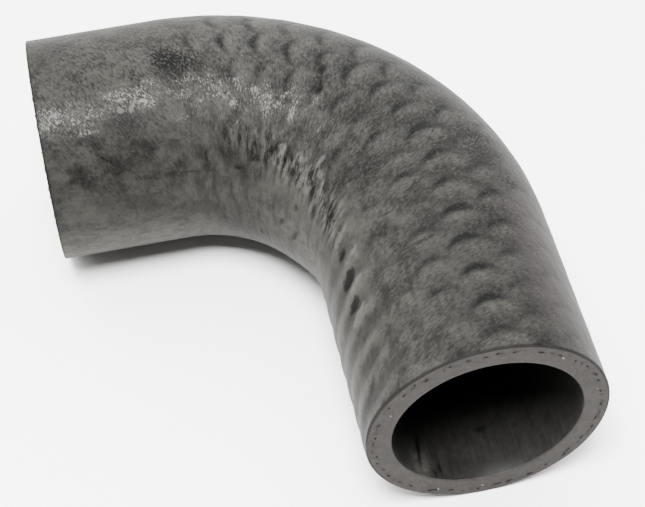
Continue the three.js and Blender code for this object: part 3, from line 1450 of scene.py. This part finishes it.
    def lay_creases(self, canvas: CoverCanvas) -> None:
        """Lays the row of creases: painted shade in their slits, pale torn flakes, and pale rubber beside
        them.

        Args:
            canvas: The cover.
        """
        distance, turn = canvas.surface.distance, canvas.surface.turn
        canvas.lay(canvas.crease_row * 0.12, self.flake_and_highlight)
        past_start = distance.step(*self.below_row_start)
        below_row = self.crease_row(distance, turn - self.crease_width) * past_start
        canvas.lay(below_row * self.below_row_share, self.pale)
        rib_side = turn.band(*self.rib_side_turns, 10.0) * distance.band(*self.rib_side_distances, 10.0)
        canvas.lay(rib_side * self.rib_side_share, self.pale)
        # Painted shade in the slits of the creases.
        canvas.lay(canvas.crease_row * canvas.folds.step(*self.slit_levels) * self.slit_share, self.deep)
        flaky = canvas.crease_row * (0.15 + 0.5 * distance.step(*self.flaky_start))
        canvas.lay(flaky * canvas.folds.step(*self.flaky_levels), self.flake_and_highlight)

    def lay_freckles(self, canvas: CoverCanvas) -> None:
        """Lays dark freckles, close together in some places, and specks where the grey has worn off.

        Args:
            canvas: The cover.
        """
        freckled = canvas.marked(FRECKLED)
        spots = (canvas.specks + freckled * 0.1).step(*self.freckle_levels)
        canvas.lay(freckled * 0.2 + spots * canvas.grain_share * (0.36 + 0.5 * freckled), self.deep)
        worn_off = (1 - canvas.specks).step(*self.worn_off_levels) * canvas.grain_share
        canvas.lay(worn_off * self.worn_off_share, self.pale)

    def lay_chalk_glint(self, canvas: CoverCanvas) -> None:
        """Lays the chalky bloom with its painted glint, in a band of small flakes with solid dabs, and the
        pale lifted flakes with painted highlights beside the dents.

        Args:
            canvas: The cover.
        """
        clumps, flakes = canvas.clumps, canvas.flakes
        drop = self.chalk_glint_drop * canvas.surface.distance.step(15.0, 6.0)
        ragged = canvas.surface.turn + self.chalk_glint_ragged * (clumps - 0.5) - drop
        faded = canvas.surface.distance.step(self.chalk_glint_end, self.chalk_glint_end - self.chalk_glint_fade)
        band = ragged.band(*self.chalk_glint_band, self.chalk_glint_softness) * faded
        patches = canvas.marked(CHALK_GLINT)
        base = 0.1 + 0.3 * clumps.step(0.42, 0.62) + 0.07 * canvas.surface.distance.step(26.0, 20.0)
        gap = canvas.marked(CHALK_GLINT_GAP)
        thick = ((band * base + 0.5 * patches) * (1 - gap)).between(0.0, 1.0)
        shown = (flakes + 0.10 * thick).step(*self.chalk_glint_levels) * thick.step(0.0, 0.5)
        dabs = canvas.marked(CHALK_GLINT_DABS)
        torn_dabs = (dabs + 2.4 * (flakes - 0.5)).step(*self.dab_levels) * dabs.step(0.03, 0.4) * 0.85
        solid = ((clumps + 0.08 * patches).step(0.66, 0.69) * thick).most(torn_dabs)
        # Chalky bloom, and a painted glint of light on its flakes.
        canvas.lay(thick * 0.04, self.chalk_glint)
        canvas.lay((shown * 0.7).most(solid * (0.35 + 0.5 * shown)), self.chalk_glint)
        # Pale lifted flakes, and painted highlights on the ridges beside the dents.
        flakes_and_highlights = canvas.marked(RAISED_FLAKES_AND_HIGHLIGHTS)
        torn = (flakes_and_highlights + 1.8 * (clumps - 0.5)).step(0.30, 0.70) * flakes_and_highlights.step(0.05, 0.3)
        canvas.lay(torn * (0.25 + 0.4 * flakes.step(0.4, 0.6)), self.flake_and_highlight)

    def lay_dent_shade(self, canvas: CoverCanvas) -> None:
        """Paints shade in the dents, with ragged edges, and in the small nicks.

        Args:
            canvas: The cover.
        """
        dents = canvas.marked(self.dents)
        torn = 1.2 * (canvas.folds - 0.5) + 1.8 * (canvas.fine - 0.5)
        # Painted shade in the dents and in the small nicks.
        dent_shade = (1.8 * dents + torn).step(0.3, 1.0) * dents.step(0.03, 0.3) * 0.85
        nick_shade = canvas.marked(NICKS) * canvas.specks.step(0.3, 0.5)
        canvas.lay(dent_shade.most(nick_shade), self.deep)

    def lay_edge_shade(self, canvas: CoverCanvas) -> None:
        """Paints shade on the cover's very edges at both ends.

        Args:
            canvas: The cover.
        """
        distance = canvas.surface.distance
        from_end = distance.least(self.pattern.form.length - distance)
        # Painted shade along the cover's edge at each cut end.
        canvas.lay(from_end.step(*self.edge_shade_span) * self.edge_shade_share, self.deep)


@dataclass(frozen=True)
class CutFinish:
    """The cut faces: paler rubber, a little mottled, with a thin dark line of painted shade along the
    cover's edge.
    """

    form: HoseForm
    rubber: Colour = (0.0275, 0.0245, 0.0232, 1.0)
    dark: Colour = (0.0180, 0.0162, 0.0153, 1.0)
    line: Colour = (0.003, 0.0028, 0.0026, 1.0)
    cut_edge_shade_width: float = 0.5
    cut_edge_shade_softness: float = 0.3
    cut_edge_shade_share: float = 0.75
    textile_radius: float = 20.8
    textile_width: float = 0.45
    textile_share: float = 0.7
    mottle_mm: float = 2.0
    specks_mm: float = 0.5
    smudges_mm: Lengths = (1.0, 1.1, 1.1)
    relief_mm: float = 0.12
    gloss: float = 0.06

    def material(self) -> bpy.types.Material:
        """Builds the finish.

        Returns:
            The material.
        """
        material, graph = new_material("cut_rubber")
        place = straightened(graph)
        _, outwards, upwards = graph.parts(place)
        radius = (outwards * outwards + upwards * upwards) ** 0.5
        mottle = graph.grain(place, self.mottle_mm, 4.0, 0.6)
        uneven = mottle * 0.6 + graph.grain(place, self.specks_mm, 2.0, 0.6, shift=7.0) * 0.4
        paint = Paint(graph, self.dark)
        paint.lay(uneven.step(0.38, 0.62), self.rubber)
        smudges = graph.grain(place, self.smudges_mm, 2.0, 0.5, shift=37.0).step(0.50, 0.62)
        textile = ((radius - self.textile_radius) / self.textile_width).bell() * smudges
        paint.lay(textile * self.textile_share, self.line)
        # Painted shade in a thin line along the cover's edge.
        cut_edge_shade_start = self.form.outer_radius - self.cut_edge_shade_width
        line = (radius + mottle * 0.5).step(cut_edge_shade_start, cut_edge_shade_start + self.cut_edge_shade_softness)
        paint.lay(line * self.cut_edge_shade_share, self.line)
        inputs = {
            "Base Color": paint.colour,
            "Roughness": 0.5 + 0.2 * mottle,
            "Normal": bumped(graph, uneven, self.relief_mm),
            "Specular IOR Level": self.gloss,
        }
        finished(graph, inputs)
        return material


BORE_MARKS = (
    Mark(128.8, 230.6, 3.0, 1.3, 0.9, lean=-3.2),
    Mark(124.8, 276.0, 0.8, 1.3, 0.8),
    Mark(124.5, 282.0, 0.5, 2.6, 0.4),
    Mark(122.0, 306.0, 2.5, 0.4, 0.4),
    Mark(132.4, 243.0, 1.2, 0.7, 0.8),
    Mark(133.8, 239.0, 0.8, 0.5, 0.8),
    Mark(135.4, 270.0, 5.0, 11.0, 0.55),
)

BORE_SCUFF = (Mark(132.0, 229.0, 3.4, 2.6, 1.0),)


@dataclass(frozen=True)
class BoreFinish:
    """The bore: dark rubber with faint streaks along it, a scratch and a scuffed place near the long end."""

    form: HoseForm
    dark: Colour = (0.0050, 0.0049, 0.0045, 1.0)
    grey: Colour = (0.0100, 0.0096, 0.0088, 1.0)
    pale: Colour = (0.0260, 0.0250, 0.0230, 1.0)
    deep: Colour = (0.0008, 0.0008, 0.0007, 1.0)
    streaks_mm: Lengths = (9.0, 0.5, 0.5)
    mottle_mm: float = 1.6
    gloss: float = 0.1

    def material(self) -> bpy.types.Material:
        """Builds the finish.

        Returns:
            The material.
        """
        material, graph = new_material("bore_rubber")
        bore = seen_surface(graph)
        stamp = MarkStamp(TreeKind.SHADER, self.form.outer_radius)
        streaks = graph.grain(bore.place, self.streaks_mm, 3.0, 0.6)
        mottle = graph.grain(bore.place, self.mottle_mm, 4.0, 0.65, shift=13.0)
        paint = Paint(graph, self.dark)
        paint.lay((streaks * 0.5 + mottle * 0.5).step(0.36, 0.64), self.grey)
        scuffed = stamp.all(bore, BORE_SCUFF)
        paint.lay(scuffed * (0.4 + 0.6 * mottle.step(0.35, 0.55)), self.pale)
        paint.lay(stamp.all(bore, BORE_MARKS), self.deep)
        inputs = {"Base Color": paint.colour, "Roughness": 0.45 + 0.2 * streaks}
        finished(graph, {**inputs, "Specular IOR Level": self.gloss})
        return material


@dataclass(frozen=True)
class NubFinish:
    """A plain finish for the small bits in the cut faces."""

    name: str
    dark: Colour
    light: Colour
    grain_mm: float = 0.4
    roughness: float = 0.7
    gloss: float = 0.1

    def material(self) -> bpy.types.Material:
        """Builds the finish.

        Returns:
            The material.
        """
        material, graph = new_material(self.name)
        place = graph.node("ShaderNodeTexCoord").outputs["Object"]
        mottle = graph.grain(place, self.grain_mm * METRES_PER_MM)
        colour = graph.mix(mottle.step(0.35, 0.65), self.dark, self.light)
        inputs = {"Base Color": colour, "Roughness": self.roughness, "Specular IOR Level": self.gloss}
        finished(graph, inputs)
        return material


YARN_FINISH = NubFinish(
    name="yarn_end",
    dark=(0.0016, 0.0015, 0.0014, 1.0),
    light=(0.0090, 0.0082, 0.0078, 1.0),
)
CRUMB_FINISH = NubFinish(
    name="pale_crumb",
    dark=(0.06, 0.057, 0.05, 1.0),
    light=(0.13, 0.125, 0.115, 1.0),
)


@dataclass(frozen=True)
class FaceNubs:
    """Small flattened nubs scattered along a ring on both cut faces."""

    form: HoseForm
    name: str
    finish: NubFinish
    nubs: int
    ring_radius: float
    ring_spread: float
    lengths: Span
    widths: Span
    height: float = 0.14
    uneven_turn: float = 0.42
    face_inset: float = 0.3
    segments: int = 10
    rings: int = 6
    seed: int = 7

    def sizes(self) -> dict[str, float | int]:
        """Returns the tree's named inputs with their sizes."""
        return {
            "Nubs": self.nubs,
            "Ring radius": self.ring_radius,
            "Ring spread": self.ring_spread,
            "Shortest": self.lengths[0],
            "Longest": self.lengths[1],
            "Narrowest": self.widths[0],
            "Widest": self.widths[1],
            "Height": self.height,
            "Uneven turn": self.uneven_turn,
            "Short end": self.form.short_leg - self.face_inset,
            "Long end": self.form.long_leg - self.face_inset,
            "Bend radius": self.form.bend_radius,
            "Segments": self.segments,
            "Rings": self.rings,
            "Seed": self.seed,
        }

    def tree(self) -> bpy.types.NodeTree:
        """Builds the Geometry Nodes tree of the nubs on both faces.

        Returns:
            The tree.
        """
        graph, size = sized_graph(self.name, self.sizes())
        short_place = graph.vector(-size["Short end"], size["Bend radius"], 0.0)
        long_place = graph.vector(size["Bend radius"], -size["Long end"], 0.0)
        quarter = math.pi / 2
        joined = graph.node("GeometryNodeJoinGeometry")
        for end, (place, turned) in enumerate(
            ((short_place, (quarter, 0.0, quarter)), (long_place, (quarter, 0.0, 0.0)))
        ):
            inputs = {
                "Geometry": self.ring(graph, size, size["Seed"] + 10.0 * end),
                "Translation": graph.vector_maths("SCALE", {"Vector": place, "Scale": METRES_PER_MM}),
                "Rotation": turned,
                "Scale": (METRES_PER_MM, METRES_PER_MM, METRES_PER_MM),
            }
            on_face = graph.node("GeometryNodeTransform", None, inputs).outputs[0]
            graph.tree.links.new(on_face, joined.inputs[0])
        smooth = {"Geometry": joined.outputs[0]}
        shown = graph.node("GeometryNodeSetShadeSmooth", {"domain": "FACE"}, smooth).outputs[0]
        shown = graph.node("GeometryNodeRealizeInstances", None, {"Geometry": shown}).outputs[0]
        dressed = {"Geometry": shown, "Material": self.finish.material()}
        shown = graph.node("GeometryNodeSetMaterial", None, dressed).outputs[0]
        graph.node("NodeGroupOutput", None, {"Geometry": shown})
        return graph.tree

    @staticmethod
    def ring(graph: Graph, size: Mapping[str, Value], seed: Value) -> bpy.types.NodeSocket:
        """Scatters nubs along a ring, lying flat.

        Args:
            graph: The tree that is being built.
            size: The tree's inputs.
            seed: The ring's own seed.

        Returns:
            The nubs, in millimetres from the middle of the ring.
        """
        points = graph.node("GeometryNodePoints", None, {"Count": size["Nubs"]}).outputs[0]
        index = Value(graph, graph.node("GeometryNodeInputIndex").outputs[0])
        unevenness = graph.chance(-size["Uneven turn"], size["Uneven turn"], seed)
        angle = (index + unevenness) * (2 * math.pi) / size["Nubs"]
        radius = size["Ring radius"] + graph.chance(-size["Ring spread"], size["Ring spread"], seed + 1)
        place = graph.vector(radius * angle.cosine(), radius * angle.sine(), 0.0)
        placed = graph.node("GeometryNodeSetPosition", None, {"Geometry": points, "Position": place})
        ball = {"Segments": size["Segments"], "Rings": size["Rings"], "Radius": 0.5}
        nub = graph.node("GeometryNodeMeshUVSphere", None, ball).outputs["Mesh"]
        length = graph.chance(size["Shortest"], size["Longest"], seed + 2)
        width = graph.chance(size["Narrowest"], size["Widest"], seed + 3)
        inputs = {
            "Points": placed.outputs[0],
            "Instance": nub,
            "Rotation": graph.vector(0.0, 0.0, angle + math.pi / 2),
            "Scale": graph.vector(length, width, 2 * size["Height"]),
        }
        return graph.node("GeometryNodeInstanceOnPoints", None, inputs).outputs[0]

    def build(self) -> bpy.types.Object:
        """Makes the nubs and puts them on the hose's ends.

        Returns:
            The nubs' object.
        """
        nubs = made_mesh(self.name, self.tree(), self.sizes())
        nubs.data.transform(Matrix.Translation(self.form.bend_centre * METRES_PER_MM))
        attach(nubs, BODY)
        return nubs


@dataclass(frozen=True)
class Camera:
    """The photograph's camera, fitted to the hose's outline."""

    place_mm: Lengths = (-32.32, -218.87, 281.91)
    yaw: float = 9.57
    pitch: float = 50.53
    roll: float = -2.82
    lens: float = 98.01

    def build(self) -> bpy.types.Object:
        """Sets up the camera and makes it the scene's.

        Returns:
            The camera.
        """
        data = bpy.data.cameras.new("camera")
        data.lens = self.lens
        camera = bpy.data.objects.new("camera", data)
        bpy.context.scene.collection.objects.link(camera)
        yaw, pitch, roll = (math.radians(angle) for angle in (self.yaw, self.pitch, self.roll))
        ahead = Vector((math.sin(yaw) * math.cos(pitch), math.cos(yaw) * math.cos(pitch), -math.sin(pitch)))
        level = Vector((math.cos(yaw), -math.sin(yaw), 0.0))
        above = level.cross(ahead)
        right = math.cos(roll) * level + math.sin(roll) * above
        over = math.cos(roll) * above - math.sin(roll) * level
        turned = Matrix((right, over, -ahead)).transposed()
        camera.matrix_world = Matrix.Translation(Vector(self.place_mm) * METRES_PER_MM) @ turned.to_4x4()
        bpy.context.scene.camera = camera
        return camera


@dataclass(frozen=True)
class Softbox:
    """One square soft light: where it hangs, what it points at, its size and its power."""

    name: str
    place: Lengths
    size: float
    power: float

    def build(self, target: Vector) -> None:
        """Hangs the light.

        Args:
            target: What it points at, in metres.
        """
        data = bpy.data.lights.new(self.name, "AREA")
        data.shape = "SQUARE"
        data.size = self.size
        data.energy = self.power
        light = bpy.data.objects.new(self.name, data)
        light.location = self.place
        light.rotation_euler = (target - Vector(self.place)).to_track_quat("-Z", "Y").to_euler()
        bpy.context.scene.collection.objects.link(light)


@dataclass(frozen=True)
class Stage:
    """The plain pale floor, the white surroundings and the soft lights."""

    floor_size: float = 6.0
    floor_colour: Colour = (0.86, 0.855, 0.845, 1.0)
    floor_roughness: float = 0.8
    surround_colour: Colour = (1.0, 0.998, 0.992, 1.0)
    surround_strength: float = 7.4
    front_strength: float = 0.03
    front_fade: Span = (-0.05, 0.7)
    rear_share: float = 0.7
    overhead_share: float = 0.35
    lit_point: Lengths = (0.0, 0.0, 0.02)
    lights: tuple[Softbox, ...] = (Softbox("overhead_softbox", (-0.10, -0.26, 0.85), 0.30, 44.0),)

    def build(self) -> None:
        """Builds the floor, the surroundings and the lights."""
        half = self.floor_size / 2
        floor_corners = [(-half, -half, 0.0), (half, -half, 0.0), (half, half, 0.0), (-half, half, 0.0)]
        mesh = bpy.data.meshes.new("floor")
        mesh.from_pydata(floor_corners, [], [(0, 1, 2, 3)])
        floor = bpy.data.objects.new("floor", mesh)
        bpy.context.scene.collection.objects.link(floor)
        material, graph = new_material("pale_floor")
        finished(graph, {"Base Color": self.floor_colour, "Roughness": self.floor_roughness})
        mesh.materials.append(material)
        world = bpy.data.worlds.new("white_surroundings")
        world.use_nodes = True
        world.node_tree.nodes.clear()
        sky = Graph(world.node_tree)
        heading = sky.node("ShaderNodeTexCoord").outputs["Generated"]
        _, backwards, upwards = sky.parts(heading)
        lit = (self.overhead_share * upwards + self.rear_share * backwards).step(*self.front_fade)
        strength = self.surround_strength * (self.front_strength + (1 - self.front_strength) * lit)
        inputs = {"Color": self.surround_colour, "Strength": strength}
        background = sky.node("ShaderNodeBackground", None, inputs)
        sky.node("ShaderNodeOutputWorld", None, {"Surface": background.outputs[0]})
        bpy.context.scene.world = world
        for light in self.lights:
            light.build(Vector(self.lit_point))


def main() -> None:
    """Builds the hose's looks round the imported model."""
    logging.basicConfig(level=logging.INFO, format="%(name)s: %(message)s")
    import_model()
    form = HoseForm(low=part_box(HOSE_NODE)[0])
    Camera().build()
    Stage().build()
    pattern = ScalePattern(form)
    ribs = Ribs(form.outer_radius)
    materials = {
        Zone.COVER: CoverFinish(pattern, ribs).material(),
        Zone.CUT_FACE: CutFinish(form).material(),
        Zone.BORE: BoreFinish(form).material(),
    }
    yarn_ends = FaceNubs(
        form,
        "yarn_ends",
        YARN_FINISH,
        nubs=38,
        ring_radius=20.8,
        ring_spread=0.35,
        lengths=(0.4, 1.8),
        widths=(0.25, 0.6),
    )
    pale_crumbs = FaceNubs(
        form,
        "pale_crumbs",
        CRUMB_FINISH,
        nubs=5,
        ring_radius=19.6,
        ring_spread=0.8,
        lengths=(0.3, 0.7),
        widths=(0.25, 0.45),
        seed=3,
    )
    for maker in (HoseWall(form, pattern, ribs, materials), yarn_ends, pale_crumbs):
        piece = maker.build()
        LOG.info("%s has %d faces", piece.name, len(piece.data.polygons))


if __name__ == "__main__":
    main()
